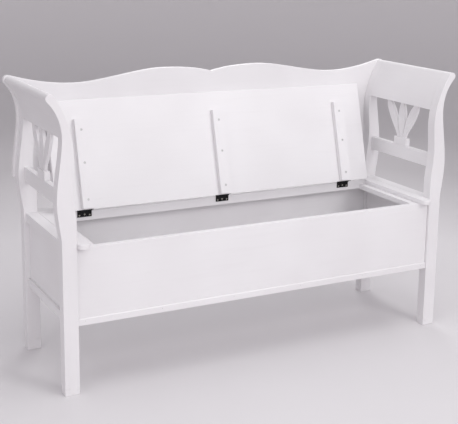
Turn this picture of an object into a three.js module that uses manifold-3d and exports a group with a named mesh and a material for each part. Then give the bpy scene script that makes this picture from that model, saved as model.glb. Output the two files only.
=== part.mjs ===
// Storage bench with a hinged seat lid, two scrolled end frames and a scalloped backrest.
//
// Units are millimetres. +Z is up, +X runs along the bench, and -Y is the front. The origin is on
// the floor, under the middle of the outer box. "Out" is an offset outward from the outer face of
// a leg. The lid is drawn shut about its hinge line and then turned until it leans on the backrest.

import * as THREE from 'three';
import { mergeVertices } from 'three/addons/utils/BufferGeometryUtils.js';
import Module from 'manifold-3d';

const wasm = await Module();
wasm.setup();

// ---------------------------------------------------------------- driving dimensions

const SPAN = 1384;                // over the outer faces of the legs
const FRAME_DEPTH = 436;          // over the front and back legs
const LEG_WIDTH = 46;             // along X
const LEG_DEPTH = 38;             // along Y
const OVERHANG = 21;              // seat in front of the legs
const FIT = 0.3;                  // joiner's clearance at the end of a board

const SEAT_TOP = 472;
const SEAT_THICK = 16;            // lid, seat strips and rear ledge
const STRIP_WIDTH = 37.7;         // fixed seat strip at each end of the lid
const CLEAT = { wide: 62, thick: 18 };

const CHEST_LOW = 215;            // lower edge of the front panel and its moulding
const FRONT_PANEL = { inset: 9, thick: 20 };
const MOULDING = { height: 22, proud: 5, chamfer: 2.5 };
const BACK_PANEL = { inset: 14, thick: 18 };
const FLOOR_CLEAT = 18;
const FLOOR_THICK = 12;

const END_SEAT_RAIL = { inset: 8, height: 32 };
const END_PANEL = { inset: 16, thick: 18 };
const END_FOOT_RAIL = { inset: 8, low: 225, high: 250 };

const MID_RAIL = { low: 577, high: 626, inset: 7, thick: 18 };
const TOP_RAIL_LOW = 785;
const LEAF_BLOCK = { width: 73, height: 28 };
const LEAF_THICK = 10;

const BACKREST_LOW = 588;
const BACKREST_THICK = 18;
const BACKREST_PROUD = 8;         // past the outline of the posts

const LID_HALF_LENGTH = 605;
const LID_LIFT = 0.4;             // shut lid above its rests
const LID_NOSE = 6;               // rounding of the upper front edge
const LID_REST_GAP = 0.4;         // leaning lid to backrest
const BATTEN = { width: 40, thick: 18, frontGap: 66, rearGap: 3 };
const BATTEN_X = [-500, 0, 500];
const TURNED_GAP = 0.3;           // between touching pieces of the tilted lid

const HINGE_RAIL = { front: 346.4, thick: 22, height: 32 };
const HINGE_X = [-505, 0, 505];
const HINGE = { length: 49, leaf: 1.4, barrel: 3, bore: 1.4, pin: 1.3, knuckle: 24, play: 0.4 };
const HINGE_RISE = 3;             // pin centre above the seat
const HINGE_SETBACK = 2.9;        // pin centre in front of the hinge rail
const LID_REAR_GAP = 1.8;         // lid's rear edge in front of the pin centre

const SCREW = { head: 4.2, sink: 2.4, shank: 2.1, length: 26, point: 4, play: 0.25 };
const SCREW_STATIONS = [0.12, 0.49, 0.9];   // along a batten, from its front end

// ---------------------------------------------------------------- places that follow from them

const overallDepth = OVERHANG + FRAME_DEPTH + BACKREST_THICK;
const legFront = OVERHANG - overallDepth / 2;
const legBack = legFront + FRAME_DEPTH;
const betweenFront = legFront + LEG_DEPTH;
const betweenBack = legBack - LEG_DEPTH;
const middleY = (legFront + legBack) / 2;
const legOuter = SPAN / 2;
const legInner = legOuter - LEG_WIDTH;
const boardEnd = legInner - FIT;
const seatLow = SEAT_TOP - SEAT_THICK;
const panelFront = legFront + FRONT_PANEL.inset;
const panelBack = panelFront + FRONT_PANEL.thick;
const backPanelBack = legBack - BACK_PANEL.inset;
const backPanelFront = backPanelBack - BACK_PANEL.thick;
const hingeRailFront = legFront + HINGE_RAIL.front;
const hingeRailBack = hingeRailFront + HINGE_RAIL.thick;
const endPanelInner = legOuter - END_PANEL.inset - END_PANEL.thick;
const floorLow = CHEST_LOW + 1 + FLOOR_CLEAT;
const leafFoot = MID_RAIL.high + LEAF_BLOCK.height;
const hingeY = hingeRailFront - HINGE_SETBACK;
const hingeZ = SEAT_TOP + HINGE_RISE;

// ---------------------------------------------------------------- materials

const paint = new THREE.MeshStandardMaterial({ color: 0xf1eef0, roughness: 0.42, metalness: 0 });
const blackSteel = new THREE.MeshStandardMaterial({ color: 0x18181a, roughness: 0.45, metalness: 0.6 });
const screwSteel = new THREE.MeshStandardMaterial({ color: 0xc4c2c6, roughness: 0.4, metalness: 0.5 });

// ---------------------------------------------------------------- helpers

const bench = new THREE.Group();

function add(parent, name, geometry, material = paint) {
  const mesh = new THREE.Mesh(geometry, material);
  mesh.name = name;
  parent.add(mesh);
}

function box(x0, x1, y0, y1, z0, z1) {
  const geometry = new THREE.BoxGeometry(Math.abs(x1 - x0), y1 - y0, z1 - z0);
  return geometry.translate((x0 + x1) / 2, (y0 + y1) / 2, (z0 + z1) / 2);
}

function extrude(shape, depth, curveSegments) {
  return new THREE.ExtrudeGeometry(shape, { depth, bevelEnabled: false, curveSegments });
}

// A shape drawn in (x, z), with its thickness from y0 to y1.
function slabAlongY(shape, y0, y1, curveSegments = 12) {
  const axes = new THREE.Matrix4().makeBasis(
    new THREE.Vector3(1, 0, 0),
    new THREE.Vector3(0, 0, 1),
    new THREE.Vector3(0, -1, 0),
  );
  return extrude(shape, y1 - y0, curveSegments).applyMatrix4(axes).translate(0, y1, 0);
}

// A shape drawn in (y, z), with its length from x0 to x1.
function slabAlongX(shape, x0, x1, curveSegments = 8) {
  const axes = new THREE.Matrix4().makeBasis(
    new THREE.Vector3(0, 1, 0),
    new THREE.Vector3(0, 0, 1),
    new THREE.Vector3(1, 0, 0),
  );
  return extrude(shape, x1 - x0, curveSegments).applyMatrix4(axes).translate(x0, 0, 0);
}

function toSolid(geometry) {
  const bare = geometry.clone();
  bare.deleteAttribute('normal');
  bare.deleteAttribute('uv');
  const merged = mergeVertices(bare, 1e-4);
  const vertProperties = new Float32Array(merged.attributes.position.array);
  const triVerts = new Uint32Array(merged.index.array);
  return new wasm.Manifold(new wasm.Mesh({ numProp: 3, vertProperties, triVerts }));
}

function toGeometry(solid) {
  const mesh = solid.getMesh();
  const geometry = new THREE.BufferGeometry();
  geometry.setAttribute('position', new THREE.BufferAttribute(new Float32Array(mesh.vertProperties), 3));
  geometry.setIndex(new THREE.BufferAttribute(new Uint32Array(mesh.triVerts), 1));
  geometry.computeVertexNormals();
  return geometry;
}

function sideName(x) {
  if (x === 0) return 'middle';
  return x < 0 ? 'left' : 'right';
}

// ---------------------------------------------------------------- scrolled end frames

// The outer side of a post swells to an elbow, narrows to a waist and flares into a round bead.
const CORNER = 484;               // straight leg below, curve above
const ELBOW = { out: 12.5, height: 596 };
const WAIST = { out: -7, height: 786 };
const BEAD = { out: 25.5, height: 903.5, radius: 13, start: -44, end: 148, steps: 10 };

// The inner side, from the top down.
const INNER_WAIST = { out: -41.5, height: 736 };
const INNER_ELBOW = { out: -36.5, height: 639 };
const INNER_CORNER = 525;

function onBead(bead, degrees) {
  const angle = THREE.MathUtils.degToRad(degrees);
  return [bead.out + bead.radius * Math.cos(angle), bead.height + bead.radius * Math.sin(angle)];
}

// A point `reach` before (negative) or after (positive) the bead's point, along its tangent.
function besideBead(bead, degrees, reach) {
  const angle = THREE.MathUtils.degToRad(degrees);
  const [out, height] = onBead(bead, degrees);
  return [out - reach * Math.sin(angle), height + reach * Math.cos(angle)];
}

function traceBead(path, place, bead) {
  for (let step = 1; step <= bead.steps; step += 1) {
    const degrees = THREE.MathUtils.lerp(bead.start, bead.end, step / bead.steps);
    path.lineTo(...place(...onBead(bead, degrees)));
  }
}

// The flare from the waist up to the start of a bead.
function traceFlare(path, place, waistOut, bead) {
  const rise = place(waistOut, WAIST.height + 43);
  const reach = place(...besideBead(bead, bead.start, -37));
  path.bezierCurveTo(...rise, ...reach, ...place(...onBead(bead, bead.start)));
}

function postShape(side) {
  const place = (out, height) => [side * (legOuter + out), height];
  const shape = new THREE.Shape();
  shape.moveTo(...place(0, 0));
  shape.lineTo(...place(0, CORNER));
  shape.bezierCurveTo(
    ...place(4.5, CORNER + 31),
    ...place(ELBOW.out, ELBOW.height - 36),
    ...place(ELBOW.out, ELBOW.height),
  );
  shape.bezierCurveTo(
    ...place(ELBOW.out, ELBOW.height + 58),
    ...place(WAIST.out, WAIST.height - 50),
    ...place(WAIST.out, WAIST.height),
  );
  traceFlare(shape, place, WAIST.out, BEAD);
  traceBead(shape, place, BEAD);
  shape.bezierCurveTo(
    ...place(...besideBead(BEAD, BEAD.end, 60)),
    ...place(INNER_WAIST.out, INNER_WAIST.height + 66),
    ...place(INNER_WAIST.out, INNER_WAIST.height),
  );
  shape.bezierCurveTo(
    ...place(INNER_WAIST.out, INNER_WAIST.height - 25),
    ...place(INNER_ELBOW.out, INNER_ELBOW.height + 32),
    ...place(INNER_ELBOW.out, INNER_ELBOW.height),
  );
  shape.bezierCurveTo(
    ...place(INNER_ELBOW.out, INNER_ELBOW.height - 33),
    ...place(-LEG_WIDTH, INNER_CORNER + 35),
    ...place(-LEG_WIDTH, INNER_CORNER),
  );
  shape.lineTo(...place(-LEG_WIDTH, 0));
  shape.closePath();
  return shape;
}

// The wide top rail is the post's scroll carried across, above a level lower edge.
function topRail(side) {
  const scroll = toSolid(slabAlongY(postShape(side), betweenFront, betweenBack));
  const reach = 100;
  const waste = box(
    side * (legOuter - reach),
    side * (legOuter + reach),
    betweenFront - 1,
    betweenBack + 1,
    -1,
    TOP_RAIL_LOW,
  );
  return toGeometry(scroll.subtract(toSolid(waste)));
}

// Stations of a leaf going up: height above its foot, offset of its middle line, half width.
const OUTER_LEAF = [
  [0, 16, 7],
  [19, 23, 9.5],
  [43, 36, 15],
  [68, 49.5, 19.5],
  [92, 62.5, 20.5],
  [112, 73, 17.5],
  [130.7, 82, 9],
];
const MIDDLE_LEAF = [
  [0, 0, 7.5],
  [19, 0, 11.5],
  [43, 0, 18],
  [68, 0, 20],
  [92, 0, 19],
  [112, 0, 14.5],
  [130.7, 0, 6.5],
];

// Splines run through the stations up one edge and down the other, with a flat foot and tip.
function leafShape(stations, lean) {
  const edge = (turn) => stations.map(([height, offset, half]) => (
    new THREE.Vector2(middleY + lean * offset + turn * half, leafFoot + height)
  ));
  const rising = edge(-1);
  const falling = edge(1).reverse();
  const shape = new THREE.Shape();
  shape.moveTo(rising[0].x, rising[0].y);
  shape.splineThru(rising.slice(1));
  shape.lineTo(falling[0].x, falling[0].y);
  shape.splineThru(falling.slice(1));
  shape.closePath();
  return shape;
}

function leaves(side, centreX) {
  const fan = [
    ['front', OUTER_LEAF, -1],
    ['middle', MIDDLE_LEAF, 0],
    ['back', OUTER_LEAF, 1],
  ];
  const x0 = centreX - LEAF_THICK / 2;
  for (const [place, stations, lean] of fan) {
    const blade = slabAlongX(leafShape(stations, lean), x0, x0 + LEAF_THICK, 16);
    add(bench, `leaf_${place}_${sideName(side)}`, blade);
  }
}

function endFrame(side) {
  const name = sideName(side);
  add(bench, `front_post_${name}`, slabAlongY(postShape(side), legFront, betweenFront));
  add(bench, `back_post_${name}`, slabAlongY(postShape(side), betweenBack, legBack));
  add(bench, `top_rail_${name}`, topRail(side));

  // Rails and panels run between the posts.
  const between = (outer, inner, low, high) => (
    box(side * outer, side * inner, betweenFront, betweenBack, low, high)
  );
  const midOuter = legOuter - MID_RAIL.inset;
  const midInner = midOuter - MID_RAIL.thick;
  add(bench, `mid_rail_${name}`, between(midOuter, midInner, MID_RAIL.low, MID_RAIL.high));

  const blockFront = middleY - LEAF_BLOCK.width / 2;
  const blockBack = middleY + LEAF_BLOCK.width / 2;
  const block = box(side * midOuter, side * midInner, blockFront, blockBack, MID_RAIL.high, leafFoot);
  add(bench, `leaf_block_${name}`, block);
  leaves(side, side * (midOuter + midInner) / 2);

  const railLow = SEAT_TOP - END_SEAT_RAIL.height;
  const railOuter = legOuter - END_SEAT_RAIL.inset;
  const panelOuter = legOuter - END_PANEL.inset;
  const footOuter = legOuter - END_FOOT_RAIL.inset;
  const { low, high } = END_FOOT_RAIL;
  add(bench, `end_seat_rail_${name}`, between(railOuter, legInner, railLow, SEAT_TOP));
  add(bench, `end_panel_${name}`, between(panelOuter, endPanelInner, high, railLow));
  add(bench, `end_foot_rail_${name}`, between(footOuter, endPanelInner, low, high));
}

// ---------------------------------------------------------------- chest under the seat

// A strip along the foot of the front panel, with its upper arris taken off.
function frontMoulding() {
  const face = panelFront - MOULDING.proud;
  const high = CHEST_LOW + MOULDING.height;
  const section = new THREE.Shape();
  section.moveTo(face, CHEST_LOW);
  section.lineTo(panelFront, CHEST_LOW);
  section.lineTo(panelFront, high);
  section.lineTo(face + MOULDING.chamfer, high);
  section.lineTo(face, high - MOULDING.chamfer);
  section.closePath();
  return slabAlongX(section, -boardEnd, boardEnd);
}

// The floor board reaches the end panels and is notched round the legs.
function floorBoard() {
  const long = endPanelInner - FIT;
  const corners = [
    [boardEnd, panelBack],
    [boardEnd, betweenFront + FIT],
    [long, betweenFront + FIT],
    [long, betweenBack - FIT],
    [boardEnd, betweenBack - FIT],
    [boardEnd, backPanelFront],
  ];
  const right = corners.map(([x, y]) => new THREE.Vector2(x, y));
  const left = corners.map(([x, y]) => new THREE.Vector2(-x, y)).reverse();
  return extrude(new THREE.Shape([...right, ...left]), FLOOR_THICK, 1).translate(0, 0, floorLow);
}

// A fixed strip of seat beside the lid, whose half-round tongue overhangs the front panel.
function seatStrip(side) {
  const radius = STRIP_WIDTH / 2;
  const centreX = side * (boardEnd - radius);
  const tongueY = legFront - OVERHANG + radius;
  const outline = new THREE.Shape();
  outline.moveTo(centreX + radius, tongueY);
  outline.lineTo(centreX + radius, hingeRailFront);
  outline.lineTo(centreX - radius, hingeRailFront);
  outline.lineTo(centreX - radius, tongueY);
  outline.absarc(centreX, tongueY, radius, Math.PI, 2 * Math.PI, false);
  return extrude(outline, SEAT_THICK, 14).translate(0, 0, seatLow);
}

function chest() {
  const cleatLow = seatLow - CLEAT.thick;
  const cleatInner = boardEnd - CLEAT.wide;
  const ledgeBack = legBack - 1;
  const railLow = SEAT_TOP - HINGE_RAIL.height;
  const floorCleatLow = floorLow - FLOOR_CLEAT;
  const floorCleatFront = backPanelFront - FLOOR_CLEAT;
  const cross = (front, back, low, high) => box(-boardEnd, boardEnd, front, back, low, high);
  add(bench, 'front_panel', cross(panelFront, panelBack, CHEST_LOW, seatLow));
  add(bench, 'front_moulding', frontMoulding());
  add(bench, 'back_panel', cross(backPanelFront, backPanelBack, CHEST_LOW, seatLow));
  add(bench, 'floor_board', floorBoard());
  add(bench, 'floor_cleat_front', cross(panelBack, panelBack + FLOOR_CLEAT, floorCleatLow, floorLow));
  add(bench, 'floor_cleat_back', cross(floorCleatFront, backPanelFront, floorCleatLow, floorLow));
  add(bench, 'hinge_rail', cross(hingeRailFront, hingeRailBack, railLow, SEAT_TOP));
  add(bench, 'rear_ledge', cross(hingeRailBack, ledgeBack, seatLow, SEAT_TOP));
  for (const side of [-1, 1]) {
    const cleat = box(side * cleatInner, side * boardEnd, panelBack, hingeRailFront, cleatLow, seatLow);
    add(bench, `lid_cleat_${sideName(side)}`, cleat);
    add(bench, `seat_strip_${sideName(side)}`, seatStrip(side));
  }
}

// ---------------------------------------------------------------- backrest

// The ends follow the posts. The top edge dips to a small cusp in the middle, rises to a hump on
// each side, sags, and lifts again to rounded corners.
const BACKREST_BEAD = { out: 26.5, height: 903, radius: 15.5, start: -44, end: 106, steps: 8 };
const CUSP = 903;
const HUMP = { x: 180, height: 922 };
const SAG = { x: 500, height: 883.5 };

function backrestShape() {
  const place = (out, height) => [legOuter + out, height];
  const elbowOut = ELBOW.out + BACKREST_PROUD;
  const waistOut = WAIST.out + BACKREST_PROUD;
  const edge = new THREE.Path();
  edge.moveTo(...place(elbowOut, BACKREST_LOW));
  edge.bezierCurveTo(
    ...place(elbowOut, ELBOW.height + 58),
    ...place(waistOut, WAIST.height - 50),
    ...place(waistOut, WAIST.height),
  );
  traceFlare(edge, place, waistOut, BACKREST_BEAD);
  traceBead(edge, place, BACKREST_BEAD);
  const slope = place(...besideBead(BACKREST_BEAD, BACKREST_BEAD.end, 46));
  edge.bezierCurveTo(...slope, SAG.x + 90, SAG.height, SAG.x, SAG.height);
  edge.bezierCurveTo(SAG.x - 100, SAG.height, HUMP.x + 100, HUMP.height, HUMP.x, HUMP.height);
  edge.bezierCurveTo(HUMP.x - 70, HUMP.height, 50, CUSP + 13, 0, CUSP);
  const right = edge.getPoints(14);
  const left = right.slice(0, -1).map((point) => new THREE.Vector2(-point.x, point.y)).reverse();
  return new THREE.Shape([...right, ...left]);
}

// ---------------------------------------------------------------- lid, drawn shut about its pin

const lidLow = seatLow + LID_LIFT - hingeZ;
const lidHigh = lidLow + SEAT_THICK - LID_LIFT;
const lidFront = legFront - OVERHANG - hingeY;
const lidRear = -LID_REAR_GAP;
const battenHigh = lidLow - TURNED_GAP;
const battenLow = battenHigh - BATTEN.thick;
const battenFront = lidFront + BATTEN.frontGap;
const battenRear = lidRear - BATTEN.rearGap;

// Angle at which the lid's rounded upper front edge comes to the backrest.
function leanAngle() {
  const noseY = lidFront + LID_NOSE;
  const noseZ = lidHigh - LID_NOSE;
  const reach = legBack - LID_REST_GAP - LID_NOSE - hingeY;
  return Math.PI + Math.atan2(-noseZ, -noseY) - Math.acos(reach / Math.hypot(noseY, noseZ));
}

// A countersunk screw driven upward, its flat head at z = 0. `play` widens it into its own hole.
function screw(play) {
  const mouth = play > 0 ? 1 : 0;
  const head = SCREW.head + play;
  const shank = SCREW.shank + play;
  const profile = [
    new THREE.Vector2(0, -mouth),
    new THREE.Vector2(head, -mouth),
    new THREE.Vector2(head, 0.4),
    new THREE.Vector2(shank, SCREW.sink),
    new THREE.Vector2(shank, SCREW.length - SCREW.point + play),
    new THREE.Vector2(0, SCREW.length + play),
  ];
  return new THREE.LatheGeometry(profile, 16).rotateX(Math.PI / 2);
}

function screwPlaces(x) {
  const { lerp } = THREE.MathUtils;
  return SCREW_STATIONS.map((along) => [x, lerp(battenFront, battenRear, along), battenLow]);
}

function drill(geometry, places) {
  let solid = toSolid(geometry);
  for (const place of places) {
    solid = solid.subtract(toSolid(screw(SCREW.play).translate(...place)));
  }
  return toGeometry(solid);
}

function lidBoard() {
  const lowerNose = LID_NOSE / 2;
  const section = new THREE.Shape();
  section.moveTo(lidFront + lowerNose, lidLow);
  section.lineTo(lidRear, lidLow);
  section.lineTo(lidRear, lidHigh);
  section.lineTo(lidFront + LID_NOSE, lidHigh);
  section.absarc(lidFront + LID_NOSE, lidHigh - LID_NOSE, LID_NOSE, Math.PI / 2, Math.PI, false);
  section.absarc(lidFront + lowerNose, lidLow + lowerNose, lowerNose, Math.PI, 1.5 * Math.PI, false);
  const board = slabAlongX(section, -LID_HALF_LENGTH, LID_HALF_LENGTH);
  return drill(board, BATTEN_X.flatMap(screwPlaces));
}

function batten(x) {
  const reach = BATTEN.width / 2;
  return drill(box(x - reach, x + reach, battenFront, battenRear, battenLow, battenHigh), screwPlaces(x));
}

// ---------------------------------------------------------------- hinges

function cylinderAlongX(radius, x0, x1) {
  const geometry = new THREE.CylinderGeometry(radius, radius, x1 - x0, 24);
  return geometry.rotateZ(Math.PI / 2).translate((x0 + x1) / 2, 0, 0);
}

// A leaf stands from y0 to y1, up from `low`, and rolls into its knuckles round the pin.
function hingeLeaf(y0, y1, low, knuckles) {
  const reach = HINGE.length / 2;
  const plateTop = -HINGE.barrel - 0.5;
  let solid = toSolid(box(-reach, reach, y0, y1, low, plateTop));
  for (const [x0, x1] of knuckles) {
    const neck = box(x0, x1, y0, y1, plateTop - 1, -0.5);
    solid = solid.add(toSolid(neck)).add(toSolid(cylinderAlongX(HINGE.barrel, x0, x1)));
  }
  return toGeometry(solid.subtract(toSolid(cylinderAlongX(HINGE.bore, -reach - 1, reach + 1))));
}

// The pin is headed over at both ends of the barrel.
function hingePin() {
  const reach = HINGE.length / 2;
  const head = { radius: HINGE.barrel - 0.8, gap: 0.2, thick: 1 };
  const end = [
    [head.radius * 0.7, reach + head.gap + head.thick],
    [head.radius, reach + head.gap + head.thick * 0.6],
    [head.radius, reach + head.gap],
    [HINGE.pin, reach + head.gap],
  ];
  const upper = [[0, reach + head.gap + head.thick], ...end];
  const lower = upper.map(([radius, height]) => [radius, -height]).reverse();
  const profile = [...upper, ...lower].map(([radius, height]) => new THREE.Vector2(radius, -height));
  return new THREE.LatheGeometry(profile, 20).rotateZ(-Math.PI / 2);
}

// ---------------------------------------------------------------- assembly

for (const side of [-1, 1]) endFrame(side);
chest();
add(bench, 'backrest_board', slabAlongY(backrestShape(), legBack, legBack + BACKREST_THICK));

const lid = new THREE.Group();
lid.position.set(0, hingeY, hingeZ);
lid.rotation.x = -leanAngle();
bench.add(lid);
add(lid, 'lid_board', lidBoard());
for (const x of BATTEN_X) {
  add(lid, `lid_batten_${sideName(x)}`, batten(x));
  screwPlaces(x).forEach((place, index) => {
    add(lid, `batten_screw_${sideName(x)}_${index + 1}`, screw(0).translate(...place), screwSteel);
  });
}

for (const x of HINGE_X) {
  const name = sideName(x);
  const reach = HINGE.length / 2;
  const waist = HINGE.knuckle / 2;
  const lidFace = lidRear + TURNED_GAP;
  const lidLeaf = hingeLeaf(lidFace, lidFace + HINGE.leaf, lidLow + 0.5, [[-waist, waist]]);
  add(lid, `hinge_lid_leaf_${name}`, lidLeaf.translate(x, 0, 0), blackSteel);

  const outerKnuckles = [[-reach, -waist - HINGE.play], [waist + HINGE.play, reach]];
  const railLeaf = hingeLeaf(HINGE_SETBACK - HINGE.leaf, HINGE_SETBACK, lidLow - 4, outerKnuckles);
  add(bench, `hinge_rail_leaf_${name}`, railLeaf.translate(x, hingeY, hingeZ), blackSteel);
  add(bench, `hinge_pin_${name}`, hingePin().translate(x, hingeY, hingeZ), blackSteel);
}

export default bench;
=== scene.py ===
import math

import bmesh
import bpy
from mathutils import Matrix, Vector


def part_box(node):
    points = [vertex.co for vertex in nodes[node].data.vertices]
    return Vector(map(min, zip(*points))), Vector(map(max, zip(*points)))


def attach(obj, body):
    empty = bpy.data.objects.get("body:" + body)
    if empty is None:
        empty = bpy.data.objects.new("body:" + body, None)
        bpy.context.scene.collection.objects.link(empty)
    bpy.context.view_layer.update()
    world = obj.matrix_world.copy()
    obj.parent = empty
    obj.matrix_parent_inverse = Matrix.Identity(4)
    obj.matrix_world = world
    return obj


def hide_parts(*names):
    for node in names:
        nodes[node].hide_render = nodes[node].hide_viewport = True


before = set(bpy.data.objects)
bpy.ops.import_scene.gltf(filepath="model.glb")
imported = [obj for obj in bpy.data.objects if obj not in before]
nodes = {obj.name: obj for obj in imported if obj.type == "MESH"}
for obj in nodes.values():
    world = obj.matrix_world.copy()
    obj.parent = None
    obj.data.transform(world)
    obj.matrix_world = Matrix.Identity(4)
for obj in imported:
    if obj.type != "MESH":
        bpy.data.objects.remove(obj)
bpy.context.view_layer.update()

STATIONS = ("left", "middle", "right")
MM = 0.001


# ---------------------------------------------------------------- material helpers


def add_node(tree, kind, inputs=None, **settings):
    """A shader node with its settings, and each input either linked or set."""
    made = tree.nodes.new(kind)
    for key, value in settings.items():
        setattr(made, key, value)
    for socket, value in (inputs or {}).items():
        if isinstance(value, bpy.types.NodeSocket):
            tree.links.new(value, made.inputs[socket])
        else:
            made.inputs[socket].default_value = value
    return made


def mix_colour(tree, factor, first, second):
    return add_node(
        tree, "ShaderNodeMix", {0: factor, 6: first, 7: second}, data_type="RGBA"
    ).outputs[2]


def remap(tree, value, low, high, to_low=0.0, to_high=1.0):
    inputs = {"Value": value, "From Min": low, "From Max": high}
    inputs.update({"To Min": to_low, "To Max": to_high})
    return add_node(tree, "ShaderNodeMapRange", inputs).outputs[0]


def times(tree, first, second):
    return add_node(
        tree, "ShaderNodeMath", {0: first, 1: second}, operation="MULTIPLY"
    ).outputs[0]


def noise(tree, place, scale, detail=3.0, roughness=0.5):
    inputs = {"Vector": place, "Scale": scale}
    inputs.update({"Detail": detail, "Roughness": roughness})
    return add_node(tree, "ShaderNodeTexNoise", inputs).outputs[0]


def stretched(tree, place, scale):
    return add_node(tree, "ShaderNodeMapping", {"Vector": place, "Scale": scale}).outputs[0]


def bump(tree, height, strength, distance, normal=None):
    inputs = {"Height": height, "Strength": strength, "Distance": distance}
    if normal is not None:
        inputs["Normal"] = normal
    return add_node(tree, "ShaderNodeBump", inputs).outputs[0]


def new_material(name):
    material = bpy.data.materials.new(name)
    material.use_nodes = True
    tree = material.node_tree
    return material, tree, tree.nodes["Principled BSDF"]


# ---------------------------------------------------------------- materials

PAINT = (0.83, 0.815, 0.83, 1)
PAINT_SHADE = (0.775, 0.755, 0.77, 1)
PAINT_SCUFF = (0.42, 0.38, 0.37, 1)
SCUFF_TOP = 0.07                # scuffs have thinned out at this height above the floor
GRAIN_STRETCH = 0.055           # scale of the grain along a board, as a share of across it

HINGE_COAT = (0.012, 0.012, 0.013, 1)
HINGE_BARE = (0.16, 0.155, 0.15, 1)


def painted_wood(name, along):
    """Satin white paint over boards whose grain runs along one axis (0, 1 or 2)."""
    material, tree, shader = new_material(name)
    place = add_node(tree, "ShaderNodeTexCoord").outputs["Object"]
    across = [1.0, 1.0, 1.0]
    across[along] = GRAIN_STRETCH
    grain = noise(tree, stretched(tree, place, across), 95, 5, 0.62)
    strokes = noise(tree, stretched(tree, place, across), 420, 3, 0.55)
    drift = noise(tree, place, 2.6, 2)
    speck = noise(tree, place, 620, 2)
    scuff = noise(tree, place, 38, 7, 0.68)

    # Scuffs gather at the feet.
    height = add_node(tree, "ShaderNodeSeparateXYZ", {0: place}).outputs[2]
    low_down = remap(tree, height, SCUFF_TOP, 0.0)
    scuffed = times(tree, remap(tree, scuff, 0.54, 0.70), low_down)

    tone = mix_colour(tree, remap(tree, drift, 0.35, 0.7), PAINT, PAINT_SHADE)
    grained = mix_colour(tree, remap(tree, grain, 0.52, 0.8, 0, 0.4), tone, PAINT_SHADE)
    colour = mix_colour(tree, times(tree, scuffed, 0.3), grained, PAINT_SCUFF)
    tree.links.new(colour, shader.inputs["Base Color"])
    tree.links.new(remap(tree, strokes, 0.3, 0.7, 0.36, 0.5), shader.inputs["Roughness"])
    shader.inputs["Specular IOR Level"].default_value = 0.42

    waves = bump(tree, grain, 0.5, 0.5 * MM)
    brushed = bump(tree, strokes, 0.3, 0.2 * MM, waves)
    surface = bump(tree, speck, 0.25, 0.1 * MM, brushed)
    tree.links.new(surface, shader.inputs["Normal"])
    return material


def hinge_steel():
    """Black coated steel, rubbed to a dull grey in small spots."""
    material, tree, shader = new_material("black_hinge_steel_look")
    place = add_node(tree, "ShaderNodeTexCoord").outputs["Object"]
    rubbed = noise(tree, place, 240, 6, 0.7)
    pores = noise(tree, place, 1500, 2)
    worn = remap(tree, rubbed, 0.6, 0.75, 0, 0.6)
    tint = mix_colour(tree, worn, HINGE_COAT, HINGE_BARE)
    tree.links.new(tint, shader.inputs["Base Color"])
    tree.links.new(remap(tree, rubbed, 0.3, 0.7, 0.38, 0.6), shader.inputs["Roughness"])
    shader.inputs["Metallic"].default_value = 0.7
    tree.links.new(bump(tree, pores, 0.3, 0.05 * MM), shader.inputs["Normal"])
    return material


def screw_metal(name, colour, dark, metallic):
    """A plated screw: fine marks all over, and a darker tint where the plating has dulled."""
    material, tree, shader = new_material(name)
    place = add_node(tree, "ShaderNodeTexCoord").outputs["Object"]
    dull = noise(tree, place, 520, 5, 0.65)
    marks = noise(tree, place, 2400, 2)
    tint = mix_colour(tree, remap(tree, dull, 0.45, 0.7), colour, dark)
    tree.links.new(tint, shader.inputs["Base Color"])
    tree.links.new(remap(tree, dull, 0.3, 0.7, 0.3, 0.52), shader.inputs["Roughness"])
    shader.inputs["Metallic"].default_value = metallic
    tree.links.new(bump(tree, marks, 0.3, 0.04 * MM), shader.inputs["Normal"])
    return material


paint_x = painted_wood("white_paint_lengthwise", 0)
paint_y = painted_wood("white_paint_front_to_back", 1)
paint_z = painted_wood("white_paint_upright", 2)
black_steel = hinge_steel()
zinc = screw_metal("zinc_screw", (0.66, 0.65, 0.66, 1), (0.42, 0.41, 0.4, 1), 0.25)
hinge_zinc = screw_metal("hinge_screw", (0.42, 0.4, 0.36, 1), (0.2, 0.19, 0.17, 1), 0.5)


# ---------------------------------------------------------------- softened boards

# First letters of the boards whose grain runs front to back, and of those where it runs upright.
GRAIN_Y = ("top_rail", "mid_rail", "end_", "lid_cleat", "seat_strip")
GRAIN_Z = ("front_post", "back_post", "leaf_", "lid_batten")


def is_hinge_part(name):
    return name.startswith("hinge_") and name != "hinge_rail"


def finish_of(name):
    if is_hinge_part(name):
        return black_steel
    if name.startswith("batten_screw"):
        return zinc
    if name.startswith(GRAIN_Y):
        return paint_y
    if name.startswith(GRAIN_Z):
        return paint_z
    return paint_x


def arris_of(name):
    """Width of the softened edges of a board, in millimetres."""
    if is_hinge_part(name):
        return 0.25
    if name.startswith("seat_strip"):
        return 2.2
    if name.startswith("backrest"):
        return 1.8
    if name.startswith("top_rail"):
        return 0.4
    return 1.2


WELD_REACH = 0.01 * MM
FLAT_ANGLE = math.radians(0.3)      # faces that turn less than this are joined into one flat
ARRIS_ANGLE = math.radians(35)      # edges that turn more than this are rounded


def soften(node, width):
    """Rounds the arrises of a board without moving its faces, by modifiers on its mesh."""
    stored_normals = node.data.attributes.get("custom_normal")
    if stored_normals:
        node.data.attributes.remove(stored_normals)
    for polygon in node.data.polygons:
        polygon.use_smooth = True
    weld = node.modifiers.new("weld", "WELD")
    weld.merge_threshold = WELD_REACH
    flats = node.modifiers.new("flats", "DECIMATE")
    flats.decimate_type = "DISSOLVE"
    flats.angle_limit = FLAT_ANGLE
    arris = node.modifiers.new("arris", "BEVEL")
    arris.width = width * MM
    arris.segments = 3
    arris.limit_method = "ANGLE"
    arris.angle_limit = ARRIS_ANGLE
    shading = node.modifiers.new("shading", "WEIGHTED_NORMAL")
    shading.mode = "FACE_AREA"
    shading.weight = 100


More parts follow.
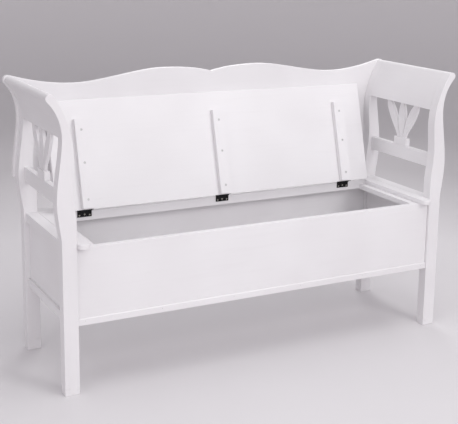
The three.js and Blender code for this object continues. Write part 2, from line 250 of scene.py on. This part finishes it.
for name, node in nodes.items():
    node.data.materials.clear()
    node.data.materials.append(finish_of(name))
    if not name.startswith(("hinge_pin", "batten_screw")):
        soften(node, arris_of(name))


# ---------------------------------------------------------------- screws and nails


def ring(radius, height, steps):
    angles = [2 * math.pi * step / steps for step in range(steps)]
    return [(radius * math.cos(angle), radius * math.sin(angle), height) for angle in angles]


def skin(rings):
    """A closed solid over rings of points from the bottom up, the first and last of one point each."""
    mesh = bmesh.new()
    levels = [[mesh.verts.new(point) for point in points] for points in rings]
    steps = len(levels[1])
    for lower, upper in zip(levels, levels[1:]):
        for step in range(steps):
            after = (step + 1) % steps
            if len(lower) == 1:
                mesh.faces.new((lower[0], upper[step], upper[after]))
            elif len(upper) == 1:
                mesh.faces.new((lower[step], upper[0], lower[after]))
            else:
                mesh.faces.new((lower[step], upper[step], upper[after], lower[after]))
    bmesh.ops.recalc_face_normals(mesh, faces=mesh.faces)
    return mesh


def to_object(mesh, name):
    data = bpy.data.meshes.new(name)
    mesh.to_mesh(data)
    mesh.free()
    made = bpy.data.objects.new(name, data)
    bpy.context.scene.collection.objects.link(made)
    return made


# Points round a quarter turn of a cross recess, in degrees: the foot of a wall each side of an
# arm is at 12, its top at 16, and the rest lie on the head between two arms.
RECESS_TURNS = (-16, -12, 12, 16, 30, 45, 60)
RECESS_ARM = 12
RECESS_DEPTH = 0.75             # as a share of the countersink's depth


def screw_mesh(head, sink, shank, length, crown):
    """A countersunk cross-head screw pointing down -Z, its rim at z = 0.

    head and shank are radii, sink is the countersink's depth and crown the height of the head.
    """
    turns = [90 * quarter + turn for quarter in range(4) for turn in RECESS_TURNS]
    in_arm = [abs(turn) <= RECESS_ARM for quarter in range(4) for turn in RECESS_TURNS]

    def level(radius, high, arm_high):
        points = []
        for turn, arm in zip(turns, in_arm):
            angle = math.radians(turn)
            height = arm_high if arm else high
            points.append((radius * math.cos(angle), radius * math.sin(angle), height))
        return points

    def flat_level(radius, height):
        return level(radius, height, height)

    floor = crown - sink * RECESS_DEPTH
    point = [
        [(0, 0, -length)],
        flat_level(shank * 0.5, -length + shank * 2),
        flat_level(shank, -length + shank * 3),
    ]
    countersink = [
        flat_level(shank, -sink),
        flat_level(head * 0.97, -0.06 * head),
        flat_level(head, 0),
    ]
    crowned_head = [
        flat_level(head * 0.85, crown * 0.7),
        flat_level(head * 0.6, crown),
    ]
    recess = [
        level(head * 0.56, crown, floor * 0.3),
        level(head * 0.22, crown, floor),
        flat_level(head * 0.16, floor),
        [(0, 0, floor)],
    ]
    return skin(point + countersink + crowned_head + recess)


FIRST_SPIN = 17                 # degrees by which the first cross is turned
NEXT_SPIN = 49                  # and each one after it


def fasteners(name, pattern, seats, body, material):
    """Copies of a screw or nail, as one piece. A seat is a point and where the head faces."""
    data = bpy.data.meshes.new(name + "_pattern")
    pattern.to_mesh(data)
    mesh = bmesh.new()
    for number, (point, facing) in enumerate(seats):
        start = len(mesh.verts)
        mesh.from_mesh(data)
        mesh.verts.ensure_lookup_table()
        spin = Matrix.Rotation(math.radians(FIRST_SPIN + NEXT_SPIN * number), 4, "Z")
        turn = Vector(facing).to_track_quat("Z", "Y").to_matrix().to_4x4()
        placed = Matrix.Translation(Vector(point)) @ turn @ spin
        bmesh.ops.transform(mesh, matrix=placed, verts=mesh.verts[start:])
    bpy.data.meshes.remove(data)
    made = to_object(mesh, name)
    made.data.materials.append(material)
    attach(made, body)
    return made


def centre(name):
    low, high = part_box(name)
    return (low + high) / 2


def face_centre(name, facing):
    """Centre of the flat end of a CAD node that faces a direction."""
    points = [vertex.co.copy() for vertex in nodes[name].data.vertices]
    furthest = max(point.dot(facing) for point in points)
    outer = [point for point in points if point.dot(facing) > furthest - 0.1 * MM]
    found = sorted({tuple(round(value, 6) for value in point) for point in outer})
    return sum((Vector(point) for point in found), Vector()) / len(found)


# The lid's own directions at rest: up_lid runs along the battens to its front edge, which is
# its upper one while it leans open, and out_of_lid points out of the battens' faces.
lean = centre("batten_screw_middle_1") - centre("batten_screw_middle_3")
up_lid = Vector((0, lean.y, lean.z)).normalized()
out_of_lid = Vector((0, -up_lid.z, up_lid.y))

# Batten screws: each takes the place of a CAD screw, with its rim where that one's head ends.
batten_screw = screw_mesh(
    head=4.2 * MM, sink=2.4 * MM, shank=2.1 * MM, length=25.5 * MM, crown=0.15 * MM
)
for station in STATIONS:
    for number in (1, 2, 3):
        cad = f"batten_screw_{station}_{number}"
        seat = face_centre(cad, out_of_lid)
        name = f"cross_screw_{station}_{number}"
        made = fasteners(name, batten_screw, [(seat, out_of_lid)], "lid", zinc)
        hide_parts(cad)

# Hinge screws: three in a shallow triangle through the leaf on the hinge rail.
LEAF_END_MARGIN = 7 * MM
LEAF_LOW_MARGIN = 6 * MM
MIDDLE_SCREW_RISE = 2.5 * MM
LEAF_FRONT = 1.6 * MM           # the screws' rims in front of the leaf's back
FORWARD = (0, -1, 0)

hinge_screw = screw_mesh(
    head=2.9 * MM, sink=1.1 * MM, shank=1.3 * MM, length=12 * MM, crown=0.3 * MM
)
for station in STATIONS:
    low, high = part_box(f"hinge_rail_leaf_{station}")
    middle = (low.x + high.x) / 2
    reach = (high.x - low.x) / 2 - LEAF_END_MARGIN
    seats = []
    for x, rise in ((-reach, 0), (0, MIDDLE_SCREW_RISE), (reach, 0)):
        rim = (middle + x, high.y - LEAF_FRONT, low.z + LEAF_LOW_MARGIN + rise)
        seats.append((rim, FORWARD))
    name = f"rail_leaf_screws_{station}"
    fasteners(name, hinge_screw, seats, "frame", hinge_zinc)

# Nails of the moulding: each head is a very low dome on its front face.
NAILS = 6
NAIL_MARGIN = 22 * MM           # from the ends of the moulding
NAIL_HEIGHT = 0.6               # as a share of the height of the moulding
NAIL_RADIUS = 1.3 * MM
NAIL_SINK = 1 * MM
NAIL_DOME = 0.12 * MM
NAIL_TOP_RADIUS = 0.7 * MM
NAIL_STEPS = 18

low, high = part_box("front_moulding")
nail = skin(
    [
        [(0, 0, -NAIL_SINK)],
        ring(NAIL_RADIUS, -NAIL_SINK, NAIL_STEPS),
        ring(NAIL_RADIUS, 0, NAIL_STEPS),
        ring(NAIL_TOP_RADIUS, NAIL_DOME, NAIL_STEPS),
        [(0, 0, NAIL_DOME)],
    ]
)
seats = []
for number in range(NAILS):
    x = low.x + NAIL_MARGIN + (high.x - low.x - 2 * NAIL_MARGIN) * number / (NAILS - 1)
    seats.append(((x, low.y, low.z + NAIL_HEIGHT * (high.z - low.z)), FORWARD))
fasteners("moulding_nails", nail, seats, "frame", zinc)


# ---------------------------------------------------------------- floor, light and camera


FLOOR_PALE = (0.74, 0.72, 0.735, 1)
FLOOR_CLOUD = (0.7, 0.68, 0.695, 1)
FLOOR_PAINTED_FALLOFF = (0.5, 0.48, 0.495, 1)
WALL_GREY = (0.66, 0.635, 0.65, 1)


def studio_material():
    """Pale under the object, a darker grey further out that is painted falloff of light, and a lighter
    grey up the wall.
    """
    material, tree, shader = new_material("studio_paint")
    place = add_node(tree, "ShaderNodeTexCoord").outputs["Object"]
    away = add_node(tree, "ShaderNodeVectorMath", {0: place}, operation="LENGTH").outputs["Value"]
    cloud = noise(tree, place, 1.2, 3)
    grit = noise(tree, place, 260, 3)
    floor = mix_colour(tree, cloud, FLOOR_PALE, FLOOR_CLOUD)
    # Painted light falloff: the floor darkens away from the centre, as if a pool of light lay under
    # the object.
    outer = mix_colour(tree, remap(tree, away, 1.5, 2.9), floor, FLOOR_PAINTED_FALLOFF)
    height = add_node(tree, "ShaderNodeSeparateXYZ", {0: place}).outputs[2]
    risen = mix_colour(tree, remap(tree, height, 0.0, 0.9), outer, WALL_GREY)
    tree.links.new(risen, shader.inputs["Base Color"])
    tree.links.new(remap(tree, grit, 0.3, 0.7, 0.6, 0.75), shader.inputs["Roughness"])
    tree.links.new(bump(tree, grit, 0.15, 0.2 * MM), shader.inputs["Normal"])
    return material


# A round studio: a pale floor that sweeps up into a soft grey wall, in metres.
CENTRE_RADIUS = 0.5
FLOOR_RADIUS = 4.0
SWEEP = 1.3
SWEEP_STEPS = 8
WALL_HEIGHT = 4.5
STUDIO_STEPS = 64


def studio_shell():
    profile = [(CENTRE_RADIUS, 0), (FLOOR_RADIUS, 0)]
    for step in range(1, SWEEP_STEPS + 1):
        angle = math.pi / 2 * step / SWEEP_STEPS
        profile.append((FLOOR_RADIUS + SWEEP * math.sin(angle), SWEEP * (1 - math.cos(angle))))
    profile.append((FLOOR_RADIUS + SWEEP, WALL_HEIGHT))
    mesh = bmesh.new()
    rings = []
    for radius, height in profile:
        rings.append([mesh.verts.new(point) for point in ring(radius, height, STUDIO_STEPS)])
    mesh.faces.new(rings[0])
    for lower, upper in zip(rings, rings[1:]):
        for step in range(STUDIO_STEPS):
            after = (step + 1) % STUDIO_STEPS
            mesh.faces.new((lower[step], upper[step], upper[after], lower[after]))
    for face in mesh.faces:
        face.smooth = True
    made = to_object(mesh, "studio_shell")
    made.data.materials.append(studio_material())


def soft_light(name, place, target, size, power):
    light = bpy.data.lights.new(name, "AREA")
    light.shape = "DISK"
    light.size = size
    light.energy = power
    made = bpy.data.objects.new(name, light)
    made.location = place
    made.rotation_euler = (Vector(target) - Vector(place)).to_track_quat("-Z", "Y").to_euler()
    made.visible_camera = False
    bpy.context.scene.collection.objects.link(made)


def studio():
    world = bpy.data.worlds.new("studio")
    world.use_nodes = True
    sky = world.node_tree.nodes["Background"]
    sky.inputs["Color"].default_value = (0.93, 0.92, 0.95, 1)
    sky.inputs["Strength"].default_value = 0.8
    bpy.context.scene.world = world
    bpy.context.scene.view_settings.view_transform = "Standard"
    soft_light("key", place=(1.3, -3.5, 2.3), target=(0, 0, 0.45), size=1.5, power=36)
    soft_light("overhead", place=(0.2, -0.9, 3.3), target=(0, 0, 0.4), size=2.0, power=19)
    soft_light("front_fill", place=(-1.1, -3.5, 1.8), target=(0.3, 0, 0.4), size=2.2, power=25)
    soft_light("side_fill", place=(-3.3, -1.8, 1.1), target=(-0.4, 0, 0.35), size=2.4, power=15)
    soft_light("rear_fill", place=(1.6, 3.3, 2.0), target=(0, 0, 0.5), size=2.2, power=28)


CAMERA_PLACE = (-1.5542, -2.9575, 1.3364)
CAMERA_YAW = math.radians(29.015)       # to the right of straight at the front
CAMERA_PITCH = math.radians(-11.989)
CAMERA_ROLL = math.radians(1.113)
SENSOR = 36                             # both in millimetres
LENS = 79.42
SHIFT = (-0.07205, -0.11354)            # as shares of the sensor's width


def camera():
    data = bpy.data.cameras.new("camera")
    data.sensor_width = SENSOR
    data.lens = LENS
    data.shift_x, data.shift_y = SHIFT
    level = math.cos(CAMERA_PITCH)
    ahead = Vector(
        (math.sin(CAMERA_YAW) * level, math.cos(CAMERA_YAW) * level, math.sin(CAMERA_PITCH))
    )
    right = Vector((math.cos(CAMERA_YAW), -math.sin(CAMERA_YAW), 0))
    up = right.cross(ahead)
    turn, tilt = math.cos(CAMERA_ROLL), math.sin(CAMERA_ROLL)
    axes = Matrix((right * turn + up * tilt, up * turn - right * tilt, -ahead)).transposed()
    made = bpy.data.objects.new("camera", data)
    made.matrix_world = Matrix.Translation(Vector(CAMERA_PLACE)) @ axes.to_4x4()
    bpy.context.scene.collection.objects.link(made)
    bpy.context.scene.camera = made


studio_shell()
studio()
camera()
